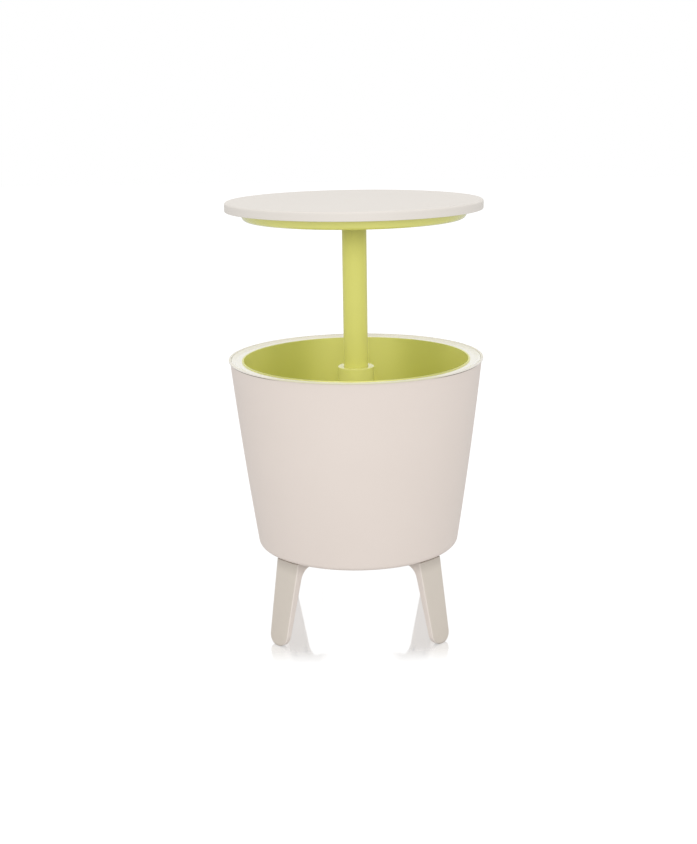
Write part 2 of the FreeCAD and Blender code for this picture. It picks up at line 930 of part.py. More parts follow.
def head_screws():
    tip = head_boss_top() - 2 * screw_tip_gap
    return Part.makeCompound([
        flush_screw(shank_radius - bond_gap, head_diameter / 2, dish_bottom + fit_gap, tip, at)
        for at in head_screw_places()
    ])


def cover_screw_places():
    step = full_turn / cover_screw_count
    return [polar(cover_screw_circle_diameter / 2, step * (i + 0.5))
            for i in range(cover_screw_count)]


def tabletop_dish():
    """Lime underside: a round plug with a soft edge, hub pad and a lip inside the band."""
    floor_radius = dish_floor_diameter / 2
    mouth = dish_mouth_diameter / 2
    body = turned([
        (guide_radius, dish_bottom),
        (floor_radius, dish_bottom, dish_corner_round),
        (mouth, dish_lip_bottom, dish_lip_round),
        (dish_lip_radius, dish_lip_bottom),
        (dish_lip_radius, dish_lip_top),
        (mouth - dish_wall, dish_lip_top, dish_lip_round),
        (floor_radius - dish_wall, dish_bottom + dish_wall, dish_corner_round - dish_wall),
        (hub_pad_diameter / 2, dish_bottom + dish_wall),
        (hub_pad_diameter / 2, hub_top),
        (guide_radius, hub_top),
    ])
    cuts = [flush_hole(shank_radius, head_diameter / 2, dish_bottom + fit_gap,
                       hub_top + overrun, at)
            for at in head_screw_places()]
    cuts += [rod(head_diameter / 2 + fit_gap, dish_bottom - overrun, dish_bottom + fit_gap, at)
             for at in head_screw_places()]
    cuts += [rod(small_shank_radius + fit_gap, dish_lip_bottom - overrun, dish_lip_top + overrun, at)
             for at in cover_screw_places()]
    return body.cut(cuts)


def cover_plate_and_band():
    badge = badge_diameter / 2
    return turned([
        (0, open_height - badge_depth),
        (badge - badge_bevel, open_height - badge_depth),
        (badge, open_height),
        (table_radius, open_height, cover_edge_round),
        (table_radius, band_bottom, band_round),
        (band_inner_radius, band_bottom, band_inner_round),
        (band_inner_radius, plate_bottom, plate_fillet),
        (0, plate_bottom),
    ])


def cover_ribs():
    """Radial ribs and a stiffening circle under the tabletop plate."""
    low = plate_bottom - cover_rib_depth
    circle = rib_circle_diameter / 2
    end = (cover_screw_circle_diameter + boss_diameter) / 2 + seat_ring_gap
    ring = sector(circle - rib_thickness, circle, low, plate_bottom, 0, full_turn)
    seat = sector(end, end + rib_thickness, dish_lip_top, plate_bottom, 0, full_turn)
    start = circle - rib_thickness / 2
    rib = Part.makeBox(end - start, rib_thickness, cover_rib_depth,
                       FreeCAD.Vector(start, -rib_thickness / 2, low))
    return [ring, seat] + around(rib, cover_rib_count, full_turn / (2 * cover_rib_count))


def tabletop_cover():
    """Cream tabletop with its turned-down band, ribs and screw bosses."""
    bosses = [rod(boss_diameter / 2, dish_lip_top, plate_bottom, at) for at in cover_screw_places()]
    body = join(cover_plate_and_band(), cover_ribs() + bosses)
    return body.cut([rod(small_shank_radius, dish_lip_top - overrun, plate_bottom - screw_tip_gap, at)
                     for at in cover_screw_places()])


def cover_screws():
    tip = plate_bottom - 2 * screw_tip_gap
    return Part.makeCompound([
        pan_screw(small_shank_radius - bond_gap, small_head_diameter / 2, dish_lip_bottom, tip, at)
        for at in cover_screw_places()
    ])


def build():
    """Every sub-part by its name."""
    parts = {
        "outer_shell": outer_shell(),
        "rim_ring": rim_ring(),
        "inner_liner": inner_liner(),
        "lock_sleeve": lock_sleeve(),
        "sleeve_screws": sleeve_screws(),
        "liner_screws": liner_screws(),
        "leg_screws": leg_screws(),
        "drain_spout": drain_spout(),
        "drain_gasket": drain_gasket(),
        "drain_nut": drain_nut(),
        "drain_plug": drain_plug(),
        "plug_seal": plug_seal(),
        "guide_shoe": guide_shoe(),
        "bayonet_foot": bayonet_foot(),
        "foot_retainer": foot_retainer(),
        "retainer_screws": retainer_screws(),
        "post_tube": post_tube(),
        "post_screws": post_screws(),
        "post_head": post_head(),
        "head_screws": head_screws(),
        "tabletop_dish": tabletop_dish(),
        "tabletop_cover": tabletop_cover(),
        "cover_screws": cover_screws(),
    }
    leg = make_leg()
    for name, angle in zip(leg_names, leg_angles):
        parts["leg_" + name] = turned_copy(leg, angle)
    return parts


os.makedirs("parts", exist_ok=True)
for name, shape in build().items():
    shape.exportStep("parts/" + name + ".step")
    box = shape.BoundBox
    print(f"{name:16s} solids {len(shape.Solids)} valid {shape.isValid()} "
          f"volume {shape.Volume / 1000:9.2f} cm3 z {box.ZMin:7.2f} {box.ZMax:7.2f}")
print(f"rim {rim_height:.2f} mm, travel {travel:.2f} mm, guide {collar_top - chamber_top:.2f} mm")
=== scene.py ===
import bpy
import bmesh
import json
import math
from mathutils import Matrix, Vector

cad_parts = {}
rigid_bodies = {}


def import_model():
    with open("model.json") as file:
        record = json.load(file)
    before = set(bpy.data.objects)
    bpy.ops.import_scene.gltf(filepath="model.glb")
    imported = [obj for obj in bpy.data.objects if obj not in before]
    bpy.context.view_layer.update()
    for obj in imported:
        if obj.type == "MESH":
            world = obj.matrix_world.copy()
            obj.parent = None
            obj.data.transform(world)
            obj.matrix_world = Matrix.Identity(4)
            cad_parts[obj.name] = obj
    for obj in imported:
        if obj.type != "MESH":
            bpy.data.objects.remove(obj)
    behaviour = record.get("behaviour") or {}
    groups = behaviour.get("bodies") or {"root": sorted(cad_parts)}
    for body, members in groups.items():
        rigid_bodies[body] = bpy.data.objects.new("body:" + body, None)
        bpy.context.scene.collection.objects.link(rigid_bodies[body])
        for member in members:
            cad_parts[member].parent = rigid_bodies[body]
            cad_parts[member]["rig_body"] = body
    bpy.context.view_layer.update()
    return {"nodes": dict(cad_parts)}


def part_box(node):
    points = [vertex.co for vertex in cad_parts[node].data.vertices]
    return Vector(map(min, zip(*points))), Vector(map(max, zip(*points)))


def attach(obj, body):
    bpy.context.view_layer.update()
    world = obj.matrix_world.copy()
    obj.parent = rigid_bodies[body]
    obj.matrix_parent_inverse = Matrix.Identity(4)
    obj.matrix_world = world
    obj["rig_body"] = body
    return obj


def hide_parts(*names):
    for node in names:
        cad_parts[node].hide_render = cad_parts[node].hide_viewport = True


# Ice bucket side table, raised on its column. The scene, the looks and the studio are in metres,
# the dictionaries of the pieces in millimetres.

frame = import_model()
mm = 0.001
white = (1.0, 1.0, 1.0, 1.0)
print("frame loaded,", len(frame["nodes"]), "parts")

turning = {
    "segments": 192,        # facets round every turned piece
    "pathRadius": 0.1,      # metres, any circle serves: the outline's points are measured from it
    "weld": 0.000002,       # metres, closes the poles
    "sliver": 0.0000005,    # metres, shorter edges go
    "arcStep": 12.0,        # degrees between two points of a rounding
    "arcLength": 16.0,      # and never further apart than this
    "leastSteps": 3,        # of any rounding
    "support": 0.7,         # extra ring beside each edge keeps the flats flat
    "longRun": 6.0,         # only on runs of more than this many supports
}
finishing = {
    "crease": 32.0,         # degrees, sharper edges stay crisp
    "weld": 0.000001,       # metres, joins loose corners
    "bevelAngle": 40.0,     # degrees, sharper edges are softened
    "bevelSegments": 2,
    "holeSegments": 48,     # facets round every drilled hole
    "cutPast": 1.0,         # a drill runs this far past both faces
}
drainPlace = 120.0          # millimetres behind the column's axis


class Wire:
    # one output of a node, which can be used in sums
    def __init__(self, maker, socket):
        self.maker = maker
        self.socket = socket

    def maths(self, operation, other, swapped=False):
        first, second = (other, self) if swapped else (self, other)
        return self.maker.node("ShaderNodeMath", {"operation": operation}, {0: first, 1: second})

    def __add__(self, other):
        return self.maths("ADD", other)

    def __sub__(self, other):
        return self.maths("SUBTRACT", other)

    def __rsub__(self, other):
        return self.maths("SUBTRACT", other, True)

    def __mul__(self, other):
        return self.maths("MULTIPLY", other)

    __radd__ = __add__
    __rmul__ = __mul__

    def sibling(self, name):
        return Wire(self.maker, self.socket.node.outputs[name])


class NodeMaker:
    def __init__(self, tree):
        self.tree = tree

    def node(self, kind, settings=None, sockets=None, output=0):
        made = self.tree.nodes.new(kind)
        for key, value in (settings or {}).items():
            setattr(made, key, value)
        for key, value in (sockets or {}).items():
            if isinstance(value, Wire):
                self.tree.links.new(value.socket, made.inputs[key])
            else:
                made.inputs[key].default_value = value
        return Wire(self, made.outputs[output]) if made.outputs else None


# how far the edges of the masks fade, in metres
softness = {"rimSide": 0.0002, "ledge": 0.001, "rimLevel": 0.0004, "paintedShadow": 0.00002}


class Finish(NodeMaker):
    # a material under construction
    def __init__(self, name):
        self.material = bpy.data.materials.new(name)
        self.material.use_nodes = True
        self.material.node_tree.nodes.clear()
        super().__init__(self.material.node_tree)
        self.place = self.node("ShaderNodeTexCoord", output="Object")

    def noise(self, scale, detail, stretch=None, roughness=0.5):
        place = self.place
        if stretch:
            place = self.node("ShaderNodeMapping", None, {"Vector": place, "Scale": stretch})
        return self.node("ShaderNodeTexNoise", None, {
            "Vector": place, "Scale": scale, "Detail": detail, "Roughness": roughness,
        }, "Fac")

    def height(self):
        return self.node("ShaderNodeSeparateXYZ", None, {0: self.place}, "Z")

    def ramp(self, value, low, high):
        return self.node("ShaderNodeMapRange", {"interpolation_type": "SMOOTHSTEP"}, {
            "Value": value, "From Min": low, "From Max": high, "To Min": 0.0, "To Max": 1.0,
        })

    def flat(self):
        # the place without its height: the direction away from the axis
        return self.node("ShaderNodeVectorMath", {"operation": "MULTIPLY"},
                         {0: self.place, 1: (1.0, 1.0, 0.0)})

    def radius(self):
        return self.node("ShaderNodeVectorMath", {"operation": "LENGTH"}, {0: self.flat()}, "Value")

    def facingOut(self):
        # 1 where the surface faces away from the axis, 0 where it faces sideways
        outward = self.node("ShaderNodeVectorMath", {"operation": "NORMALIZE"}, {0: self.flat()})
        return self.node("ShaderNodeVectorMath", {"operation": "DOT_PRODUCT"},
                         {0: outward, 1: self.place.sibling("Normal")}, "Value")

    def aboveRim(self, low, inside, ledge):
        # 1 on a raised rim: above the level low, or nearer the axis than inside and above the ledge
        height = self.height()
        inner = self.ramp(self.radius(), inside + softness["rimSide"], inside)
        inner = inner * self.ramp(height, ledge, ledge + softness["ledge"])
        return self.ramp(height, low, low + softness["rimLevel"]).maths("MAXIMUM", inner)

    def between(self, low, high):
        # 1 from one level to another
        height = self.height()
        soft = softness["paintedShadow"]
        return self.ramp(height, low - soft, low) * (1 - self.ramp(height, high, high + soft))

    def aside(self, near, far):
        # 0 in the middle, 1 towards the left and the right
        across = self.node("ShaderNodeSeparateXYZ", None, {0: self.place}, "X")
        return self.ramp(across.maths("ABSOLUTE", 0.0), near, far)

    def blend(self, factor, first, second):
        # 6 and 7 are the mix node's colour inputs, 2 is its colour output
        return self.node("ShaderNodeMix", {"data_type": "RGBA", "clamp_factor": True},
                         {0: factor, 6: (*first, 1.0) if isinstance(first, tuple) else first,
                          7: (*second, 1.0) if isinstance(second, tuple) else second}, 2)

    def relief(self, height):
        return self.node("ShaderNodeBump", None, {"Strength": 1.0, "Distance": 1.0, "Height": height})

    def surface(self, sockets):
        shader = self.node("ShaderNodeBsdfPrincipled", None, sockets)
        self.node("ShaderNodeOutputMaterial", None, {"Surface": shader})
        return self.material


# Finishes

noiseDetail = {
    "cloud": 3.0, "fleck": 2.0, "streak": 2.0, "grain": 1.0, "ripple": 1.0, "dust": 4.0, "brush": 3.0,
}
grainRoughness = 0.6


def rimLayer(finish, look, colour, rough):
    # painted light and shade: the bead and ledge round the mouth glossier and painted paler, the bead's
    # outward face painted darker and lime-tinted in the middle, and a painted shadow under the bead at
    # both sides
    rim = finish.aboveRim(look["rimLow"], look["rimInside"], look["rimLedge"])
    beside = finish.aside(*look["paintedShadowSide"])
    face = rim * finish.ramp(finish.facingOut(), *look["faceFrom"]) * (1 - beside)
    paintedShadow = finish.between(look["paintedShadowLow"], look["paintedShadowHigh"]) * beside
    colour = finish.blend(rim, colour, look["paintedLightRimColour"])
    colour = finish.blend(face, colour, look["paintedShadeFaceColour"])
    colour = finish.blend(paintedShadow * look["paintedShadowShare"], colour, look["paintedShadowColour"])
    return colour, rough - (rim - face) * look["rimGloss"]


def sideLayer(finish, look, colour):
    # painted light: a leg's front keeps the darker cream that paints its shade, its sides take the body's
    # cream, and the ridges beside its front a painted highlight
    facing = finish.facingOut()
    front = finish.ramp(facing, *look["frontFrom"])
    ridge = finish.ramp(facing, *look["ridgeFrom"]) * (1 - front)
    colour = finish.blend(front, look["sideColour"], colour)
    return finish.blend(ridge * look["paintedRidgeHighlightShare"], colour, look["paintedRidgeHighlight"])


def shadeLayer(finish, look, colour):
    # painted shade: a darker band at both sides of a wall, above its foot, beside a lighter middle
    shade = finish.aside(*look["shadeFrom"]) * (1 - finish.aside(*look["shadeTo"]))
    wall = finish.ramp(finish.height(), *look["shadeFoot"])
    return finish.blend(shade * wall, colour, look["shadeColour"])


def deepLayer(finish, look, colour):
    # darker towards the piece above, where little light comes
    deep = finish.ramp(finish.height(), *look["deepFrom"])
    return finish.blend(deep * look["deepShare"], colour, look["deepColour"])


def scuffLayer(finish, look, colour, rough, fleck):
    # worn tips on the floor
    ragged = finish.height() + (fleck - 0.5) * look["scuffRagged"]
    worn = 1 - finish.ramp(ragged, 0.0, look["scuffHeight"])
    colour = finish.blend(worn * look["scuffDepth"], colour, look["scuffColour"])
    return colour, rough + worn * look["scuffRough"]


def mouldedPlastic(name, look):
    finish = Finish(name)
    cloud = finish.noise(look["cloudScale"], noiseDetail["cloud"])
    fleck = finish.noise(look["fleckScale"], noiseDetail["fleck"])
    tone = 0.5 + (cloud - 0.5) * look["cloudDepth"] + (fleck - 0.5) * look["fleckDepth"]
    colour = finish.blend(tone, look["dark"], look["light"])
    rough = look["roughness"] + (cloud - 0.5) * look["roughSpread"]
    if "streak" in look:
        streak = finish.noise(look["streakScale"], noiseDetail["streak"], look["streak"])
        rough = rough + (streak - 0.5) * look["streakDepth"]
    if "paintedLightRimColour" in look:
        colour, rough = rimLayer(finish, look, colour, rough)
    if "sideColour" in look:
        colour = sideLayer(finish, look, colour)
    if "shadeColour" in look:
        colour = shadeLayer(finish, look, colour)
    if "deepColour" in look:
        colour = deepLayer(finish, look, colour)
    if "scuffColour" in look:
        colour, rough = scuffLayer(finish, look, colour, rough, fleck)
    grain = finish.noise(look["grainScale"], noiseDetail["grain"], None, grainRoughness)
    ripple = finish.noise(look["rippleScale"], noiseDetail["ripple"])
    return finish.surface({
        "Base Color": colour, "Roughness": rough,
        "Normal": finish.relief(grain * look["grainDepth"] + ripple * look["rippleDepth"]),
        "IOR": look["index"], "Specular IOR Level": look.get("specular", 0.5),
        "Specular Tint": look.get("tint", white),
        "Coat Weight": look["coat"], "Coat Roughness": look["coatRoughness"],
    })


# Looks: creamShellLook and limeLook hold what the others of their colour share
shellFoot, shellTop = (corner.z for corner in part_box("outer_shell"))
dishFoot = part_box("tabletop_dish")[0].z

creamShellLook = {
    "light": (0.790, 0.706, 0.650), "dark": (0.752, 0.668, 0.612),
    "cloudScale": 5.0, "cloudDepth": 0.9, "fleckScale": 900.0, "fleckDepth": 0.5,
    "index": 1.5, "roughness": 0.46, "roughSpread": 0.10, "coat": 0.0, "coatRoughness": 0.3,
    "grainScale": 1500.0, "grainDepth": 0.00003, "rippleScale": 45.0, "rippleDepth": 0.00006,
}
creamBodyLook = {
    **creamShellLook,
    # painted light and shade: a paler rim, a darker lime-tinted middle on the bead's outward face, and a
    # painted shadow band under the bead at the sides
    "paintedLightRimColour": (0.850, 0.805, 0.740), "rimGloss": 0.2,
    "rimLow": shellTop - 0.0036, "rimInside": 0.2435, "rimLedge": shellTop - 0.009,
    "paintedShadeFaceColour": (0.71, 0.69, 0.49), "faceFrom": (0.1, 0.4),
    "paintedShadowColour": (0.16, 0.13, 0.08), "paintedShadowShare": 0.85,
    "paintedShadowLow": shellTop - 0.0052, "paintedShadowHigh": shellTop - 0.0036, "paintedShadowSide": (0.13, 0.18),
}
creamTopLook = {
    **creamShellLook,
    "light": (0.748, 0.704, 0.652), "dark": (0.718, 0.674, 0.622),
    "roughness": 0.50, "grainScale": 1100.0, "grainDepth": 0.00004,
    "streak": (1.0, 14.0, 1.0), "streakScale": 9.0, "streakDepth": 0.06,
}
creamRingLook = {
    **creamShellLook,
    # painted light: a paler copy of the cream, for the light the ring catches
    "light": (0.900, 0.858, 0.768), "dark": (0.870, 0.828, 0.738),
    "roughness": 0.22, "roughSpread": 0.06, "grainDepth": 0.00001, "coat": 1.0, "coatRoughness": 0.08,
}
creamLegLook = {
    **creamShellLook,
    # painted shade: a leg's front is a darker copy of the cream, and its sides keep the body's cream
    "light": (0.650, 0.590, 0.520), "dark": (0.610, 0.550, 0.480),
    "roughness": 0.38, "grainDepth": 0.00002, "coat": 0.15,
    "sideColour": (0.790, 0.712, 0.655), "frontFrom": (0.62, 0.86),
    "paintedRidgeHighlight": (0.86, 0.80, 0.74), "ridgeFrom": (0.15, 0.45), "paintedRidgeHighlightShare": 0.5,
    # painted shade at the top of each leg, under the shell
    "deepColour": (0.30, 0.26, 0.22), "deepFrom": (shellFoot - 0.0245, shellFoot + 0.0005),
    "deepShare": 0.40,
    "scuffColour": (0.42, 0.38, 0.34), "scuffHeight": 0.006, "scuffRagged": 0.006,
    "scuffDepth": 0.45, "scuffRough": 0.2,
}
limeLook = {
    "light": (0.765, 0.755, 0.200), "dark": (0.725, 0.715, 0.180),
    "cloudScale": 6.0, "cloudDepth": 0.8, "fleckScale": 700.0, "fleckDepth": 0.4,
    "index": 1.5, "roughness": 0.26, "roughSpread": 0.08, "coat": 0.8, "coatRoughness": 0.08,
    "grainScale": 1300.0, "grainDepth": 0.000012, "rippleScale": 38.0, "rippleDepth": 0.00008,
}
limeLinerLook = {
    **limeLook,
    # painted sheen: a paler copy of the lime, which the painted shade bands leave pale only in the middle
    # of the wall
    "light": (0.870, 0.855, 0.295), "dark": (0.825, 0.810, 0.270),
    "roughness": 0.44, "specular": 1.0, "tint": (0.95, 1.0, 0.45, 1.0), "coat": 0.35,
    "shadeColour": (0.59, 0.59, 0.15), "shadeFrom": (0.035, 0.135), "shadeTo": (0.150, 0.260),
    "shadeFoot": (0.320, 0.360),
}
limeCollarLook = {
    **limeLook,
    # painted light: a paler copy of the lime
    "light": (0.835, 0.820, 0.275), "dark": (0.800, 0.785, 0.255), "coat": 0.5,
}
limePostLook = {
    **limeLook,
    "light": (0.780, 0.765, 0.220), "dark": (0.740, 0.725, 0.200),
    "roughness": 0.36, "coat": 0.0, "specular": 0.3,
    "streak": (30.0, 30.0, 1.0), "streakScale": 12.0, "streakDepth": 0.14,
    "deepColour": (0.38, 0.36, 0.10), "deepFrom": (dishFoot - 0.0595, dishFoot + 0.0075),
    "deepShare": 0.65,
}
rubberLook = {
    "dark": (0.012, 0.012, 0.013), "light": (0.030, 0.030, 0.031), "dustScale": 260.0,
    "dustDepth": 0.00004, "roughness": 0.72, "roughSpread": 0.15,
}
steelLook = {
    "dark": (0.46, 0.46, 0.47), "light": (0.62, 0.62, 0.63), "brushScale": 1900.0,
    "brush": (1.0, 0.12, 1.0), "brushDepth": 0.00001, "roughness": 0.26, "roughSpread": 0.16,
}


def rubberFinish():
    look = rubberLook
    finish = Finish("seal rubber")
    dust = finish.noise(look["dustScale"], noiseDetail["dust"])
    return finish.surface({
        "Base Color": finish.blend(dust, look["dark"], look["light"]),
        "Roughness": look["roughness"] + dust * look["roughSpread"],
        "Normal": finish.relief(dust * look["dustDepth"]),
    })


def steelFinish():
    look = steelLook
    finish = Finish("screw steel")
    brushed = finish.noise(look["brushScale"], noiseDetail["brush"], look["brush"])
    return finish.surface({
        "Base Color": finish.blend(brushed, look["dark"], look["light"]), "Metallic": 1.0,
        "Roughness": look["roughness"] + brushed * look["roughSpread"],
        "Normal": finish.relief(brushed * look["brushDepth"]),
    })


finishes = {
    # each finish: (material, slot of the record)
    "creamShell": (mouldedPlastic("cream shell plastic", creamBodyLook), "cream_plastic"),
    "creamTop": (mouldedPlastic("cream tabletop plastic", creamTopLook), "cream_plastic"),
    "creamRing": (mouldedPlastic("cream ring plastic", creamRingLook), "cream_plastic"),
    "creamLeg": (mouldedPlastic("cream leg plastic", creamLegLook), "cream_plastic"),
    "lime": (mouldedPlastic("lime plastic", limeLook), "lime_plastic"),
    "limeLiner": (mouldedPlastic("lime liner plastic", limeLinerLook), "lime_plastic"),
    "limePost": (mouldedPlastic("lime column plastic", limePostLook), "lime_plastic"),
    "limeCollar": (mouldedPlastic("lime collar plastic", limeCollarLook), "lime_plastic"),
    "rubber": (rubberFinish(), "seal_rubber"),
    "steel": (steelFinish(), "screw_steel"),
}
print("finishes mixed:", len(finishes))


# Helpers for every piece

def newPiece(name, mesh):
    piece = bpy.data.objects.new(name, mesh)
    bpy.context.scene.collection.objects.link(piece)
    return piece


def seat(piece, body, finishName, *nodes):
    # paints the piece, hides the CAD parts it stands for and lets it ride with its body
    material, slot = finishes[finishName]
    piece.data.materials.clear()
    piece.data.materials.append(material)
    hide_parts(*nodes)
    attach(piece, body)
    return piece


def bodyOf(node):
    return frame["nodes"][node]["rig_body"]


def settled(piece):
    # keeps the evaluated mesh and drops the modifiers
    graph = bpy.context.evaluated_depsgraph_get()
    mesh = bpy.data.meshes.new_from_object(piece.evaluated_get(graph), depsgraph=graph)
    piece.modifiers.clear()
    old = piece.data
    piece.data = mesh
    bpy.data.meshes.remove(old)
    return piece


def cleaned(piece, weld=0.0, sliver=0.0):
    # joins loose corners, or drops slivers and turns the faces outwards, and keeps sharp edges crisp
    shape = bmesh.new()
    shape.from_mesh(piece.data)
    if weld:
        bmesh.ops.remove_doubles(shape, verts=shape.verts, dist=weld)
    if sliver:
        bmesh.ops.dissolve_degenerate(shape, dist=sliver, edges=shape.edges)
        bmesh.ops.recalc_face_normals(shape, faces=shape.faces)
    for face in shape.faces:
        face.smooth = True
    for edge in shape.edges:
        edge.smooth = edge.calc_face_angle(math.pi) < math.radians(finishing["crease"])
    shape.to_mesh(piece.data)
    shape.free()
    return piece


def geometryTree(name, inputs):
    tree = bpy.data.node_groups.new(name, "GeometryNodeTree")
    tree.interface.new_socket("Geometry", in_out="INPUT", socket_type="NodeSocketGeometry")
    for label, kind, value in inputs:
        socket = tree.interface.new_socket(label, in_out="INPUT", socket_type=kind)
        if value is not None:
            socket.default_value = value
    tree.interface.new_socket("Geometry", in_out="OUTPUT", socket_type="NodeSocketGeometry")
    return tree


def closeTree(maker, geometry, material):
    whole = maker.node("GeometryNodeRealizeInstances", None, {"Geometry": geometry})
    painted = maker.node("GeometryNodeSetMaterial", None, {"Geometry": whole, "Material": material})
    maker.node("NodeGroupOutput", None, {"Geometry": painted})


def runTree(piece, tree, values):
    modifier = piece.modifiers.new("shape", "NODES")
    modifier.node_group = tree
    for item in tree.interface.items_tree:
        if item.in_out == "INPUT" and item.name in values:
            modifier[item.identifier] = values[item.name]
    return settled(piece)


def boxInMm(node):
    # outer radius, lowest and highest level of a CAD part
    low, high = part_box(node)
    return high.x / mm, low.z / mm, high.z / mm


# Turned pieces: a rounded outline carried round the column's axis

def outline(corners):
    # corners are (radius, height, rounding)
    count = len(corners)
    points = []
    for i, corner in enumerate(corners):
        here = Vector(corner[:2])
        rounding = corner[2] if len(corner) > 2 else 0.0
        if rounding <= 0:
            points.append(here)
            continue
        back = (Vector(corners[i - 1][:2]) - here).normalized()
        ahead = (Vector(corners[(i + 1) % count][:2]) - here).normalized()
        half = back.angle(ahead) / 2
        centre = here + (back + ahead).normalized() * (rounding / math.sin(half))
        first = here + back * (rounding / math.tan(half)) - centre
        last = here + ahead * (rounding / math.tan(half)) - centre
        sweep = math.atan2(first.x * last.y - first.y * last.x, first.dot(last))
        steps = max(turning["leastSteps"], math.ceil(abs(sweep) / math.radians(turning["arcStep"])),
                    math.ceil(abs(sweep) * rounding / turning["arcLength"]))
        for step in range(steps + 1):
            points.append(centre + Matrix.Rotation(sweep * step / steps, 2) @ first)
    return points


def supported(points, closed):
    # adds a ring close to each end of every long straight run
    near = turning["support"]
    whole = []
    count = len(points)
    for i, here in enumerate(points):
        whole.append(here)
        if i == count - 1 and not closed:
            break
        run = points[(i + 1) % count] - here
        if run.length > turning["longRun"] * near:
            whole.append(here + run.normalized() * near)
            whole.append(here + run - run.normalized() * near)
    return whole


def makeTurningTree():
    tree = geometryTree("turned form", [
        ("Segments", "NodeSocketInt", turning["segments"]),
        ("Path Radius", "NodeSocketFloat", turning["pathRadius"]),
        ("Weld", "NodeSocketFloat", turning["weld"]),
        ("Material", "NodeSocketMaterial", None),
    ])
    maker = NodeMaker(tree)
    given = maker.node("NodeGroupInput")
    profile = maker.node("GeometryNodeMeshToCurve", None, {"Mesh": given})
    circle = maker.node("GeometryNodeCurvePrimitiveCircle", {"mode": "RADIUS"}, {
        "Resolution": given.sibling("Segments"), "Radius": given.sibling("Path Radius"),
    })
    upright = maker.node("GeometryNodeSetCurveNormal", {"mode": "Z_UP"}, {"Curve": circle})
    swept = maker.node("GeometryNodeCurveToMesh", None, {"Curve": upright, "Profile Curve": profile})
    welded = maker.node("GeometryNodeMergeByDistance", None, {
        "Geometry": swept, "Distance": given.sibling("Weld"),
    })
    closeTree(maker, welded, given.sibling("Material"))
    return tree


turningTree = makeTurningTree()


def turnedPiece(name, corners, finishName, closed=False):
    # the profile lies flat: its x is measured from the path, its height goes the other way
    points = supported(outline(corners), closed)
    verts = [(p.x * mm - turning["pathRadius"], -p.y * mm, 0.0) for p in points]
    edges = [(i, i + 1) for i in range(len(verts) - 1)]
    if closed:
        edges.append((len(verts) - 1, 0))
    mesh = bpy.data.meshes.new(name)
    mesh.from_pydata(verts, edges, [])
    piece = newPiece(name, mesh)
    runTree(piece, turningTree, {"Material": finishes[finishName][0]})
    return cleaned(piece, sliver=turning["sliver"])


def drilled(piece, holes):
    # each hole is its two ends and the radius at each, in millimetres
    cutter = bmesh.new()
    for start, end, first, last in holes:
        along = (Vector(end) - Vector(start)) * mm
        middle = (Vector(end) + Vector(start)) * mm / 2
        turn = along.to_track_quat("Z", "Y").to_matrix().to_4x4()
        bmesh.ops.create_cone(cutter, cap_ends=True, segments=finishing["holeSegments"],
                              radius1=first * mm, radius2=last * mm, depth=along.length,
                              matrix=Matrix.Translation(middle) @ turn)
    mesh = bpy.data.meshes.new("cutter")
    cutter.to_mesh(mesh)
    cutter.free()
    tool = newPiece("cutter", mesh)
    cut = piece.modifiers.new("holes", "BOOLEAN")
    cut.operation = "DIFFERENCE"
    cut.solver = "EXACT"
    cut.object = tool
    settled(piece)
    bpy.data.objects.remove(tool)
    return cleaned(piece)


def drilledDown(piece, y, radius, low, high):
    # an upright hole through a floor that lies between two levels
    past = finishing["cutPast"]
    return drilled(piece, [((0, y, low - past), (0, y, high + past), radius, radius)])


# The screws of the CAD parts, measured

screwSizes = {
    "segments": 28, "rings": 14, "domePower": 0.5,
    "crossReach": 0.60, "crossWidth": 0.26,     # shares of the head's radius
    "crossDepth": 0.62, "overlap": 0.3,         # shares of the head's height
    "shankFit": 0.98,       # the shank is this much thinner than the CAD one
    "slack": 0.25,          # round a countersunk head
    "pastHead": 1.0,        # its cone goes on this far past the head
    "sameLevel": 0.1,       # corners closer than this are at one level
    "angleDigits": 3,       # to which the screws' places round the column are compared
    "headShare": 1.2,       # wider than this many shanks belongs to the head
    "seed": 7,
}


def screwIslands(node):
    # the corners of each separate screw in a CAD part
    shape = bmesh.new()
    shape.from_mesh(frame["nodes"][node].data)
    bmesh.ops.remove_doubles(shape, verts=shape.verts, dist=finishing["weld"])
    seen = set()
    islands = []
    for start in shape.verts:
        if start in seen:
            continue
        seen.add(start)
        reached = [start]
        for vert in reached:
            for edge in vert.link_edges:
                other = edge.other_vert(vert)
                if other not in seen:
                    seen.add(other)
                    reached.append(other)
        islands.append([vert.co.copy() for vert in reached])
    shape.free()
    return islands


def measuredScrew(corners):
    # where a screw's head sits, which way it faces, and its sizes in metres
    near = screwSizes["sameLevel"] * mm
    spans = [max(c[i] for c in corners) - min(c[i] for c in corners) for i in range(3)]
    middle = sum(corners, Vector()) / len(corners)
    aim = Vector((middle.x, middle.y, 0)).normalized()
    if spans[2] == max(spans):
        aim = Vector((0, 0, 1))
    # of every corner: how far it lies along the aim, and how far from the screw's own axis
    rows = sorted(((c - middle).dot(aim), (c - middle).cross(aim).length) for c in corners)
    widths = [max(width for level, width in rows if abs(level - end) < near)
              for end in (rows[0][0], rows[-1][0])]
    if widths[0] > widths[1]:
        aim = -aim
        rows = sorted((-level, width) for level, width in rows)
    tip, top = rows[0][0], rows[-1][0]
    shank, head = min(widths), max(width for level, width in rows)
    flare = min(level for level, width in rows if width > shank * screwSizes["headShare"])
    base = max(level for level, width in rows if level < flare + near and abs(width - shank) < near)
    return {"seat": middle + aim * base, "aim": aim, "head": head, "shank": shank,
            "height": top - base, "length": base - tip, "sunk": base < flare - near}


